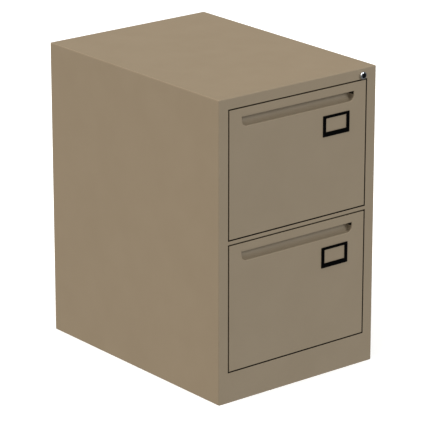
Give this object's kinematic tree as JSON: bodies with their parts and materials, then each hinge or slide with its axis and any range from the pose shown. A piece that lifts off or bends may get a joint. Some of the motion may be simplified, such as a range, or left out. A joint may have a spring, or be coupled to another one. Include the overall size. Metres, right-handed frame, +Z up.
{
  "type": "filing cabinet",
  "caption": "Steel filing cabinet with two flush drawers on full-extension ball-bearing slides, recessed handles, card holders and a turning lock that lifts a bar.",
  "frame": {"origin": "centre of the overall box at floor level", "axes": "+X to the right of someone facing the drawers, -Y the way the drawers open, +Z up"},
  "size_m": [0.457, 0.628, 0.711],
  "materials": {
    "coffee_powder_coat": "satin powder coat",
    "coffee_primer_coat": "thin satin powder coat",
    "zinc_plated_steel": "bright zinc plate",
    "slide_steel": "rolled, clear zinc plate",
    "cage_steel": "matt rolled",
    "bearing_steel": "ground and polished",
    "chromed_zinc": "polished chrome plate",
    "black_lock_plug": "black plated",
    "black_enamel": "satin black enamel",
    "black_rubber": "matt",
    "black_foot_plastic": "moulded, matt",
    "white_nylon": "moulded, matt"
  },
  "bodies": {
    "cabinet": {"outer_wrap": "coffee_powder_coat", "back_panel": "coffee_primer_coat", "top_stiffener": "coffee_primer_coat", "base_pan": "coffee_primer_coat", "front_plinth": "coffee_powder_coat", "middle_rail": "coffee_powder_coat", "left_front_upright": "zinc_plated_steel", "left_rear_upright": "zinc_plated_steel", "right_front_upright": "zinc_plated_steel", "right_rear_upright": "zinc_plated_steel", "foot_brackets": "zinc_plated_steel", "lock_housing": "chromed_zinc", "lock_clip": "zinc_plated_steel", "lock_bar_guides": "white_nylon", "upper_left_slide_outer": "slide_steel", "upper_right_slide_outer": "slide_steel", "upper_slide_buffers": "black_rubber", "lower_left_slide_outer": "slide_steel", "lower_right_slide_outer": "slide_steel", "lower_slide_buffers": "black_rubber"},
    "lock_plug": {"lock_plug": "black_lock_plug", "lock_cam": "zinc_plated_steel"},
    "lock_bar": {"lock_bar": "zinc_plated_steel"},
    "front_left_foot": {"front_left_foot": "black_foot_plastic"},
    "front_right_foot": {"front_right_foot": "black_foot_plastic"},
    "rear_left_foot": {"rear_left_foot": "black_foot_plastic"},
    "rear_right_foot": {"rear_right_foot": "black_foot_plastic"},
    "upper_drawer": {"upper_drawer_front": "coffee_powder_coat", "upper_front_liner": "coffee_primer_coat", "upper_pull_cup": "coffee_powder_coat", "upper_drawer_tray": "coffee_powder_coat", "upper_drawer_back": "coffee_powder_coat", "upper_card_holder": "black_enamel", "upper_lock_striker": "zinc_plated_steel", "upper_slide_screws": "zinc_plated_steel", "upper_left_slide_inner": "slide_steel", "upper_right_slide_inner": "slide_steel"},
    "upper_middle_members": {"upper_left_slide_middle": "slide_steel", "upper_right_slide_middle": "slide_steel"},
    "upper_outer_cages": {"upper_outer_ball_cages": "cage_steel", "upper_outer_balls": "bearing_steel"},
    "upper_inner_cages": {"upper_inner_ball_cages": "cage_steel", "upper_inner_balls": "bearing_steel"},
    "lower_drawer": {"lower_drawer_front": "coffee_powder_coat", "lower_front_liner": "coffee_primer_coat", "lower_pull_cup": "coffee_powder_coat", "lower_drawer_tray": "coffee_powder_coat", "lower_drawer_back": "coffee_powder_coat", "lower_card_holder": "black_enamel", "lower_lock_striker": "zinc_plated_steel", "lower_slide_screws": "zinc_plated_steel", "lower_left_slide_inner": "slide_steel", "lower_right_slide_inner": "slide_steel"},
    "lower_middle_members": {"lower_left_slide_middle": "slide_steel", "lower_right_slide_middle": "slide_steel"},
    "lower_outer_cages": {"lower_outer_ball_cages": "cage_steel", "lower_outer_balls": "bearing_steel"},
    "lower_inner_cages": {"lower_inner_ball_cages": "cage_steel", "lower_inner_balls": "bearing_steel"}
  },
  "joints": [
    {"name": "upper_drawer_slide", "type": "slide", "parent": "cabinet", "child": "upper_drawer", "axis": [0, -1, 0], "range_m": [0, 0.55]},
    {"name": "upper_middle_members_slide", "type": "slide", "parent": "cabinet", "child": "upper_middle_members", "axis": [0, -1, 0], "range_m": [0, 0.275]},
    {"name": "upper_outer_cages_slide", "type": "slide", "parent": "cabinet", "child": "upper_outer_cages", "axis": [0, -1, 0], "range_m": [0, 0.1375]},
    {"name": "upper_inner_cages_slide", "type": "slide", "parent": "cabinet", "child": "upper_inner_cages", "axis": [0, -1, 0], "range_m": [0, 0.4125]},
    {"name": "lower_drawer_slide", "type": "slide", "parent": "cabinet", "child": "lower_drawer", "axis": [0, -1, 0], "range_m": [0, 0.55]},
    {"name": "lower_middle_members_slide", "type": "slide", "parent": "cabinet", "child": "lower_middle_members", "axis": [0, -1, 0], "range_m": [0, 0.275]},
    {"name": "lower_outer_cages_slide", "type": "slide", "parent": "cabinet", "child": "lower_outer_cages", "axis": [0, -1, 0], "range_m": [0, 0.1375]},
    {"name": "lower_inner_cages_slide", "type": "slide", "parent": "cabinet", "child": "lower_inner_cages", "axis": [0, -1, 0], "range_m": [0, 0.4125]},
    {"name": "lock_plug_turn", "type": "hinge", "parent": "cabinet", "child": "lock_plug", "pos_m": [0.187, -0.308, 0.6946], "axis": [0, -1, 0], "range_deg": [0, 90]},
    {"name": "lock_bar_lift", "type": "slide", "parent": "cabinet", "child": "lock_bar", "axis": [0, 0, 1], "range_m": [0, 0.01202]},
    {"name": "front_left_foot_screw", "type": "slide", "parent": "cabinet", "child": "front_left_foot", "axis": [0, 0, -1], "range_m": [0, 0.01]},
    {"name": "front_right_foot_screw", "type": "slide", "parent": "cabinet", "child": "front_right_foot", "axis": [0, 0, -1], "range_m": [0, 0.01]},
    {"name": "rear_left_foot_screw", "type": "slide", "parent": "cabinet", "child": "rear_left_foot", "axis": [0, 0, -1], "range_m": [0, 0.01]},
    {"name": "rear_right_foot_screw", "type": "slide", "parent": "cabinet", "child": "rear_right_foot", "axis": [0, 0, -1], "range_m": [0, 0.01]}
  ],
  "couplings": [
    {"joint": "upper_middle_members_slide", "follows": "upper_drawer_slide", "ratio": 0.5},
    {"joint": "upper_outer_cages_slide", "follows": "upper_drawer_slide", "ratio": 0.25},
    {"joint": "upper_inner_cages_slide", "follows": "upper_drawer_slide", "ratio": 0.75},
    {"joint": "lower_middle_members_slide", "follows": "lower_drawer_slide", "ratio": 0.5},
    {"joint": "lower_outer_cages_slide", "follows": "lower_drawer_slide", "ratio": 0.25},
    {"joint": "lower_inner_cages_slide", "follows": "lower_drawer_slide", "ratio": 0.75},
    {"joint": "lock_plug_turn", "follows": "lock_bar_lift", "rad_per_m": 130.67}
  ]
}
